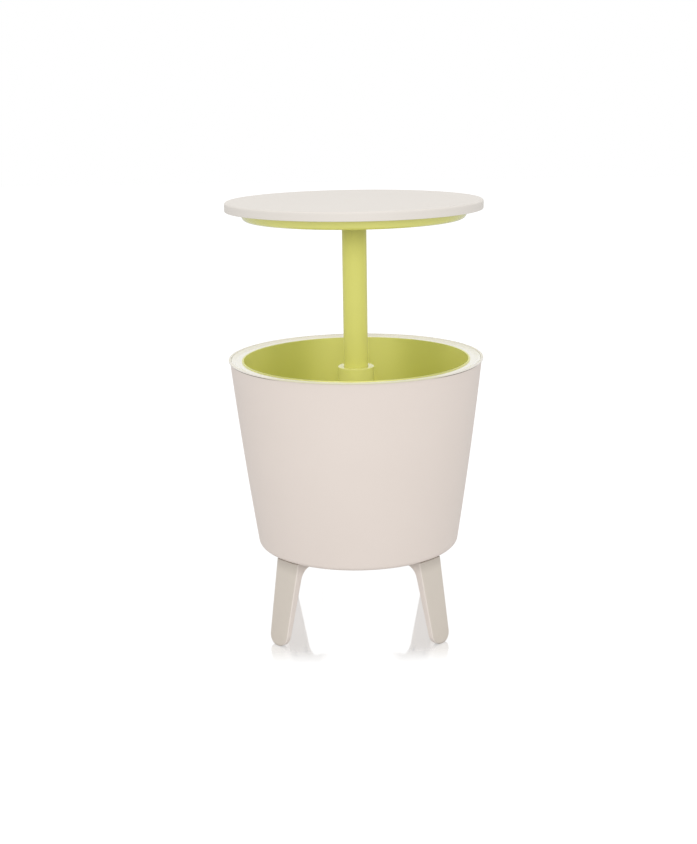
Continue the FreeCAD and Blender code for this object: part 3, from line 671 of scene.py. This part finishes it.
def countersunk(piece, node):
    # cuts a cone for the head of every screw of a CAD part
    holes = []
    for island in screwIslands(node):
        screw = measuredScrew(island)
        slope = (screw["head"] - screw["shank"]) / screw["height"]
        deep = screw["height"] + screwSizes["pastHead"] * mm
        ends = [(screw["seat"] + screw["aim"] * level) / mm for level in (0, deep)]
        radii = [(screw["shank"] + slope * level) / mm + screwSizes["slack"] for level in (0, deep)]
        holes.append((*ends, *radii))
    return drilled(piece, holes)


# Tabletop

coverSizes = {
    "bandWall": 3.2, "plate": 3.2, "edgeRound": 3.6, "bandRound": 1.0, "bandInnerRound": 0.6,
    "plateFillet": 1.5, "badgeRadius": 15.0, "badgeDepth": 0.6, "badgeBevel": 1.0,
    "badgeFloorRound": 0.3, "badgeEdgeRound": 0.4,
}


def makeCover():
    size = coverSizes
    radius, bottom, top = boxInMm("tabletop_cover")
    inner = radius - size["bandWall"]
    under = top - size["plate"]
    badge = size["badgeRadius"]
    floor = top - size["badgeDepth"]
    piece = turnedPiece("tabletopCover", [
        (0, floor), (badge - size["badgeBevel"], floor, size["badgeFloorRound"]),
        (badge, top, size["badgeEdgeRound"]),
        (radius, top, size["edgeRound"]), (radius, bottom, size["bandRound"]),
        (inner, bottom, size["bandInnerRound"]), (inner, under, size["plateFillet"]), (0, under),
    ], "creamTop")
    return seat(piece, "table", "creamTop", "tabletop_cover")


dishSizes = {
    "mouth": 221.3, "floor": 211.0, "wall": 2.8, "cornerRound": 10.2, "lipRound": 0.8,
    "lipLift": 20.5, "hub": 54.0, "hubThickness": 6.0, "postHole": 23.8,
}


def makeDish():
    size = dishSizes
    radius, bottom, top = boxInMm("tabletop_dish")
    lip = bottom + size["lipLift"]
    wall = size["wall"]
    hubTop = bottom + size["hubThickness"]
    piece = turnedPiece("tabletopDish", [
        (size["postHole"], bottom), (size["floor"], bottom, size["cornerRound"]),
        (size["mouth"], lip, size["lipRound"]), (radius, lip), (radius, top),
        (size["mouth"] - wall, top, size["lipRound"]),
        (size["floor"] - wall, bottom + wall, size["cornerRound"] - wall),
        (size["hub"], bottom + wall), (size["hub"], hubTop), (size["postHole"], hubTop),
    ], "lime", True)
    countersunk(piece, "head_screws")
    return seat(piece, "table", "lime", "tabletop_dish")


# Column

postSizes = {"wall": 2.8, "edgeRound": 0.5}


def makePost():
    radius, bottom, top = boxInMm("post_tube")
    inner = radius - postSizes["wall"]
    edge = postSizes["edgeRound"]
    piece = turnedPiece("columnTube", [
        (inner, bottom, edge), (radius, bottom, edge), (radius, top, edge), (inner, top, edge),
    ], "limePost", True)
    countersunk(piece, "post_screws")
    return seat(piece, "table", "limePost", "post_tube")


collarSizes = {"bore": 23.8, "spigot": 31.5, "shoulder": 482.5, "shoulderRound": 0.6, "edgeRound": 1.4}


def makeCollar():
    size = collarSizes
    radius, bottom, top = boxInMm("lock_sleeve")
    piece = turnedPiece("lockCollar", [
        (size["bore"], bottom), (size["spigot"], bottom), (size["spigot"], size["shoulder"]),
        (radius, size["shoulder"], size["shoulderRound"]), (radius, top, size["edgeRound"]),
        (size["bore"], top, size["edgeRound"]),
    ], "limeCollar", True)
    return seat(piece, "bucket", "limeCollar", "lock_sleeve")


# Bucket

shellSizes = {
    "wall": 3.5, "mouth": 246.2, "base": 198.4, "bulge": 1.8, "arcFullness": 0.92, "baseRound": 9.5,
    "beadHeight": 3.0, "beadWidth": 5.0, "beadRound": 1.0, "beadLowRound": 0.5,
    "grooveHeight": 0.6, "grooveDepth": 1.0, "neck": 0.3,
    "ringDrop": 7.5, "ledgeShare": 0.65, "vent": 10.0, "spoutHole": 11.3,
}


def sideRadius(level, bottom, top):
    # the shell's side is a taper with a slight bulge
    size = shellSizes
    share = (level - bottom) / (top - bottom)
    return size["base"] + (size["mouth"] - size["base"]) * share + 4 * size["bulge"] * share * (1 - share)


def makeShell():
    size = shellSizes
    bead, bottom, top = boxInMm("outer_shell")
    wall = size["wall"]
    middle = (bottom + top) / 2
    # the radius of an arc from its chord and its bulge
    arc = size["arcFullness"] * (top - bottom) ** 2 / (8 * size["bulge"])
    ledge = top - size["ringDrop"]
    beadLow = top - size["beadHeight"]
    groove = beadLow - size["grooveHeight"]
    neck = sideRadius(groove, bottom, top) - size["neck"]
    grooveRadius = neck - size["grooveDepth"]
    atLedge = sideRadius(ledge, bottom, top)
    atMiddle = sideRadius(middle, bottom, top)
    piece = turnedPiece("outerShell", [
        (0, bottom), (size["base"], bottom, size["baseRound"]), (atMiddle + size["bulge"], middle, arc),
        (neck, groove), (grooveRadius, groove), (grooveRadius, beadLow),
        (bead, beadLow, size["beadLowRound"]),
        (bead, top, size["beadRound"]), (bead - size["beadWidth"], top, size["beadRound"]),
        (atLedge - size["ledgeShare"] * wall, ledge), (atLedge - wall, ledge), (atMiddle - wall, middle),
        (size["base"] - wall, bottom + wall, size["baseRound"] - wall), (0, bottom + wall),
    ], "creamShell")
    drilledDown(piece, 0, size["vent"], bottom, bottom + wall)
    drilledDown(piece, drainPlace, size["spoutHole"], bottom, bottom + wall)
    return seat(piece, "bucket", "creamShell", "outer_shell")


ringSizes = {
    "inner": 221.35, "skirtWall": 2.2, "skirtTop": 10.0, "edgeRound": 0.6, "skirtFoot": 240.5,
    "skirtLean": 1.1, "riseWidth": 8.0, "rise": 4.2, "riseRound": 12.0,
}


def makeRing():
    size = ringSizes
    radius, foot, top = boxInMm("rim_ring")
    under = foot + size["skirtTop"]
    piece = turnedPiece("rimRing", [
        (size["inner"], under), (size["inner"], top), (radius - size["riseWidth"], top, size["riseRound"]),
        (radius, top + size["rise"], size["edgeRound"]), (radius, under),
        (size["skirtFoot"] + size["skirtLean"], under), (size["skirtFoot"], foot),
        (size["skirtFoot"] - size["skirtWall"], foot), (size["skirtFoot"] - size["skirtWall"], under),
    ], "creamRing", True)
    return seat(piece, "bucket", "creamRing", "rim_ring")


linerSizes = {
    "mouth": 219.0, "wall": 2.2, "lipThickness": 1.6, "lipRound": 0.7, "floor": 310.0,
    "floorRadius": 198.0, "floorRound": 24.0, "pillarTopRadius": 35.35, "pillarWall": 3.7,
    "pillarTop": 482.5, "draft": 1.0, "footRound": 9.0, "drainHole": 11.15,
}


def makeLiner():
    size = linerSizes
    lip, bottom, top = boxInMm("inner_liner")
    lean = math.tan(math.radians(size["draft"]))

    def pillar(level):
        return size["pillarTopRadius"] + (size["pillarTop"] - level) * lean

    wall = size["wall"]
    under = size["floor"] - wall
    seatLevel = top - size["lipThickness"]
    hollow = size["pillarWall"]
    piece = turnedPiece("iceLiner", [
        (size["mouth"], top, size["lipRound"]), (size["floorRadius"], size["floor"], size["floorRound"]),
        (pillar(size["floor"]), size["floor"], size["footRound"]),
        (pillar(size["pillarTop"]), size["pillarTop"]),
        (pillar(size["pillarTop"]) - hollow, size["pillarTop"]), (pillar(bottom) - hollow, bottom),
        (pillar(bottom), bottom), (pillar(under), under),
        (size["floorRadius"] + wall, under, size["floorRound"] + wall),
        (size["mouth"] + wall, seatLevel), (lip, seatLevel), (lip, top, size["lipRound"]),
    ], "limeLiner", True)
    drilledDown(piece, drainPlace, size["drainHole"], under, size["floor"])
    return seat(piece, "bucket", "limeLiner", "inner_liner")


# Pieces whose CAD shape is kept, welded and with soft edges

def cadCopy(node, name, bevel=0.0):
    source = frame["nodes"][node].data
    mesh = bpy.data.meshes.new(name)
    mesh.from_pydata([v.co for v in source.vertices], [], [tuple(p.vertices) for p in source.polygons])
    piece = cleaned(newPiece(name, mesh), weld=finishing["weld"])
    if bevel:
        soften = piece.modifiers.new("soften", "BEVEL")
        soften.width = bevel * mm
        soften.segments = finishing["bevelSegments"]
        soften.limit_method = "ANGLE"
        soften.angle_limit = math.radians(finishing["bevelAngle"])
        settled(piece)
    return piece


keptPieces = {
    # CAD part: (name, finish, edge softening)
    "leg_front_left": ("legFrontLeft", "creamLeg", 0.0),
    "leg_front_right": ("legFrontRight", "creamLeg", 0.0),
    "leg_rear_left": ("legRearLeft", "creamLeg", 0.0),
    "leg_rear_right": ("legRearRight", "creamLeg", 0.0),
    "drain_spout": ("drainSpout", "lime", 0.0),
    "drain_gasket": ("drainGasket", "rubber", 0.0),
    "drain_nut": ("drainNut", "lime", 0.3),
    "drain_plug": ("drainPlug", "lime", 0.0),
    "plug_seal": ("plugSeal", "rubber", 0.0),
    "guide_shoe": ("guideShoe", "lime", 0.3),
    "bayonet_foot": ("bayonetFoot", "lime", 0.0),
    "foot_retainer": ("footRetainer", "lime", 0.0),
    "post_head": ("columnHead", "lime", 0.0),
}


def makeKeptPieces():
    for node, (name, finishName, bevel) in keptPieces.items():
        seat(cadCopy(node, name, bevel), bodyOf(node), finishName, node)


# Screws: a domed or countersunk head with a cross recess, on a shank

def makeScrewTree():
    # the first five inputs get every CAD part's own values
    tree = geometryTree("cross head screws", [
        ("Head Radius", "NodeSocketFloat", 0.004), ("Head Height", "NodeSocketFloat", 0.0026),
        ("Shank Radius", "NodeSocketFloat", 0.002), ("Length", "NodeSocketFloat", 0.02),
        ("Sunk", "NodeSocketBool", False), ("Segments", "NodeSocketInt", screwSizes["segments"]),
        ("Rings", "NodeSocketInt", screwSizes["rings"]),
        ("Dome", "NodeSocketFloat", screwSizes["domePower"]),
        ("Cross Reach", "NodeSocketFloat", screwSizes["crossReach"]),
        ("Cross Width", "NodeSocketFloat", screwSizes["crossWidth"]),
        ("Cross Depth", "NodeSocketFloat", screwSizes["crossDepth"]),
        ("Overlap", "NodeSocketFloat", screwSizes["overlap"]),
        ("Seed", "NodeSocketInt", screwSizes["seed"]), ("Material", "NodeSocketMaterial", None),
    ])
    maker = NodeMaker(tree)
    given = maker.node("NodeGroupInput")
    radius, height = given.sibling("Head Radius"), given.sibling("Head Height")
    segments = given.sibling("Segments")

    def vector(x, y, z):
        return maker.node("ShaderNodeCombineXYZ", None, {"X": x, "Y": y, "Z": z})

    def united(first, second):
        both = maker.node("GeometryNodeMeshBoolean", {"operation": "UNION", "solver": "EXACT"},
                          {"Mesh 2": first})
        tree.links.new(second.socket, both.socket.node.inputs["Mesh 2"])
        return both

    def moved(mesh, place, turn=None):
        sockets = {"Geometry": mesh, "Translation": place}
        if turn:
            sockets["Rotation"] = turn
        return maker.node("GeometryNodeTransform", None, sockets)

    ball = maker.node("GeometryNodeMeshUVSphere", None, {
        "Segments": segments, "Rings": given.sibling("Rings"), "Radius": 1.0,
    })
    place = maker.node("ShaderNodeSeparateXYZ", None, {0: maker.node("GeometryNodeInputPosition")}, "X")
    rise = place.sibling("Z").maths("MAXIMUM", 0.0).maths("POWER", given.sibling("Dome"))
    pan = maker.node("GeometryNodeSetPosition", None, {
        "Geometry": ball, "Position": vector(place * radius, place.sibling("Y") * radius, rise * height),
    })
    flat = maker.node("GeometryNodeMeshCone", None, {
        "Vertices": segments, "Radius Top": radius, "Radius Bottom": given.sibling("Shank Radius"),
        "Depth": height,
    })
    head = maker.node("GeometryNodeSwitch", {"input_type": "GEOMETRY"}, {
        "Switch": given.sibling("Sunk"), "False": pan, "True": flat,
    })
    inside = height * given.sibling("Overlap")
    length = given.sibling("Length") + inside
    shank = moved(maker.node("GeometryNodeMeshCylinder", None, {
        "Vertices": segments, "Radius": given.sibling("Shank Radius") * screwSizes["shankFit"],
        "Depth": length,
    }), vector(0.0, 0.0, inside - length * 0.5))
    bar = maker.node("GeometryNodeMeshCube", None, {
        "Size": vector(radius * given.sibling("Cross Reach") * 2, radius * given.sibling("Cross Width"),
                       height * given.sibling("Cross Depth") * 2),
    })
    bars = [moved(bar, vector(0.0, 0.0, height), (0.0, 0.0, math.pi / 2 * i)) for i in range(2)]
    screw = maker.node("GeometryNodeMeshBoolean", {"operation": "DIFFERENCE", "solver": "EXACT"}, {
        "Mesh 1": united(head, shank), "Mesh 2": united(*bars),
    })
    aim = maker.node("GeometryNodeInputNamedAttribute", {"data_type": "FLOAT_VECTOR"}, {"Name": "aim"})
    facing = maker.node("FunctionNodeAlignRotationToVector", {"axis": "Z"}, {"Vector": aim})
    # 2 and 3 are the random node's least and most, 1 is its output for plain numbers
    turn = maker.node("FunctionNodeRandomValue", {"data_type": "FLOAT"}, {
        2: 0.0, 3: math.pi, "Seed": given.sibling("Seed"),
    }, 1)
    spin = maker.node("FunctionNodeAxisAngleToRotation", None, {"Axis": (0.0, 0.0, 1.0), "Angle": turn})
    laid = maker.node("FunctionNodeRotateRotation", {"rotation_space": "LOCAL"}, {
        "Rotation": facing, "Rotate By": spin,
    })
    placed = maker.node("GeometryNodeInstanceOnPoints", None, {
        "Points": given, "Instance": screw, "Rotation": laid,
    })
    closeTree(maker, placed, given.sibling("Material"))
    return tree


def makeScrews(tree, node, name):
    # every screw of a CAD part, in a fixed order round the column, because the order sets their turns
    found = [measuredScrew(island) for island in screwIslands(node)]
    digits = screwSizes["angleDigits"]
    found.sort(key=lambda screw: round(math.atan2(screw["seat"].y, screw["seat"].x), digits))
    mesh = bpy.data.meshes.new(name)
    mesh.from_pydata([screw["seat"] for screw in found], [], [])
    aims = mesh.attributes.new("aim", "FLOAT_VECTOR", "POINT")
    for i, screw in enumerate(found):
        aims.data[i].vector = screw["aim"]
    piece = newPiece(name, mesh)
    kind = found[0]
    runTree(piece, tree, {
        "Head Radius": kind["head"], "Head Height": kind["height"], "Shank Radius": kind["shank"],
        "Length": kind["length"], "Sunk": kind["sunk"], "Material": finishes["steel"][0],
    })
    piece.data.attributes.remove(piece.data.attributes["aim"])
    cleaned(piece, weld=finishing["weld"])
    return seat(piece, bodyOf(node), "steel", node)


screwPieces = {
    "sleeve_screws": "collarScrews", "liner_screws": "linerScrews", "leg_screws": "legScrews",
    "retainer_screws": "retainerScrews", "post_screws": "columnScrews", "head_screws": "headScrews",
    "cover_screws": "coverScrews",
}


def makeAllScrews():
    tree = makeScrewTree()
    for node, name in screwPieces.items():
        piece = makeScrews(tree, node, name)
        print(name, "faces", len(piece.data.polygons))


makeCover()
makeDish()
makePost()
makeCollar()
makeShell()
makeRing()
makeLiner()
makeKeptPieces()
makeAllScrews()


# Studio

studio = {
    "floorSize": 24.0, "floorBounce": 0.72, "floorSeen": 0.25, "floorGlow": 0.86, "worldLight": 0.90,
    "reflectFrom": -0.17, "reflectTo": -0.275, "reflection": 0.44, "polish": 0.05,
    "clearMiddle": 0.05, "clearEdge": 0.085, "middleReflection": 0.05, "fadeFrom": 0.34, "fadeTo": 0.50,
}
lamps = [
    # name, place, size, power, aim
    ("front softbox", (0.0, -3.3, 1.65), (1.7, 0.9), 25.0, (0.0, 0.0, 0.5)),
    ("top softbox", (0.0, -0.2, 3.2), (2.4, 2.4), 7.0, (0.0, 0.0, 0.4)),
]


def makeWorld():
    world = bpy.data.worlds.new("studio")
    bpy.context.scene.world = world
    world.use_nodes = True
    world.node_tree.nodes.clear()
    maker = NodeMaker(world.node_tree)
    path = maker.node("ShaderNodeLightPath")
    seen = path.sibling("Is Camera Ray") + path.sibling("Is Glossy Ray")
    seen = maker.node("ShaderNodeMath", {"operation": "ADD", "use_clamp": True},
                      {0: seen, 1: path.sibling("Is Transmission Ray")})
    strength = studio["worldLight"] + seen * (1 - studio["worldLight"])
    background = maker.node("ShaderNodeBackground", None, {"Color": white, "Strength": strength})
    maker.node("ShaderNodeOutputWorld", None, {"Surface": background})


def makeFloor():
    half = studio["floorSize"] / 2
    mesh = bpy.data.meshes.new("studioFloor")
    mesh.from_pydata([(-half, -half, 0), (half, -half, 0), (half, half, 0), (-half, half, 0)],
                     [], [(0, 1, 2, 3)])
    floor = newPiece("studioFloor", mesh)
    finish = Finish("studio floor")
    seen = finish.node("ShaderNodeLightPath", output="Is Camera Ray")
    bounce, level = (finish.node("ShaderNodeBsdfDiffuse", None, {"Color": (shade, shade, shade, 1.0)})
                     for shade in (studio["floorBounce"], studio["floorSeen"]))
    glow = finish.node("ShaderNodeEmission", None, {"Color": white, "Strength": studio["floorGlow"]})
    bright = finish.node("ShaderNodeAddShader", None, {0: level, 1: glow})
    matt = finish.node("ShaderNodeMixShader", None, {0: seen, 1: bounce, 2: bright})
    gloss = finish.node("ShaderNodeBsdfGlossy", None, {"Color": white, "Roughness": studio["polish"]})
    depth = finish.node("ShaderNodeSeparateXYZ", None, {0: finish.place}, "Y")
    aside = depth.sibling("X").maths("ABSOLUTE", 0.0)
    near = finish.ramp(depth, studio["reflectTo"], studio["reflectFrom"])
    beside = finish.ramp(aside, studio["clearMiddle"], studio["clearEdge"])
    close = finish.ramp(finish.radius(), studio["fadeTo"], studio["fadeFrom"])
    shine = near * close * seen * (studio["middleReflection"] + beside * studio["reflection"])
    mixed = finish.node("ShaderNodeMixShader", None, {0: shine, 1: matt, 2: gloss})
    finish.node("ShaderNodeOutputMaterial", None, {"Surface": mixed})
    floor.data.materials.append(finish.material)


def makeLamps():
    for name, place, size, power, aim in lamps:
        lamp = bpy.data.lights.new(name, "AREA")
        lamp.shape = "RECTANGLE"
        lamp.size, lamp.size_y = size
        lamp.energy = power
        holder = bpy.data.objects.new(name, lamp)
        holder.location = place
        holder.rotation_euler = (Vector(aim) - Vector(place)).to_track_quat("-Z", "Y").to_euler()
        bpy.context.scene.collection.objects.link(holder)


camera = {
    "distance": 2.6786, "height": 1.0674,
    "pan": -0.352, "pitch": -13.908, "roll": -0.89,     # degrees
    "lens": 59.46, "sensor": 36.0,                      # millimetres
    "clipNear": 0.05, "clipFar": 60.0,
}


def makeCamera():
    pan, pitch, roll = (math.radians(camera[key]) for key in ("pan", "pitch", "roll"))
    forward = Vector((math.sin(pan) * math.cos(pitch), math.cos(pan) * math.cos(pitch), math.sin(pitch)))
    right = Vector((math.cos(pan), -math.sin(pan), 0.0))
    up = right.cross(forward)
    tilted = math.cos(roll) * right + math.sin(roll) * up
    up = math.cos(roll) * up - math.sin(roll) * right
    data = bpy.data.cameras.new("camera")
    data.lens = camera["lens"]
    data.sensor_width = camera["sensor"]
    data.clip_start = camera["clipNear"]
    data.clip_end = camera["clipFar"]
    holder = bpy.data.objects.new("camera", data)
    turn = Matrix((tilted, up, -forward)).transposed().to_4x4()
    holder.matrix_world = Matrix.Translation((0.0, -camera["distance"], camera["height"])) @ turn
    bpy.context.scene.collection.objects.link(holder)
    bpy.context.scene.camera = holder


makeWorld()
makeFloor()
makeLamps()
makeCamera()
bpy.context.scene.view_settings.view_transform = "Standard"
print("studio set")

bpy.context.view_layer.update()
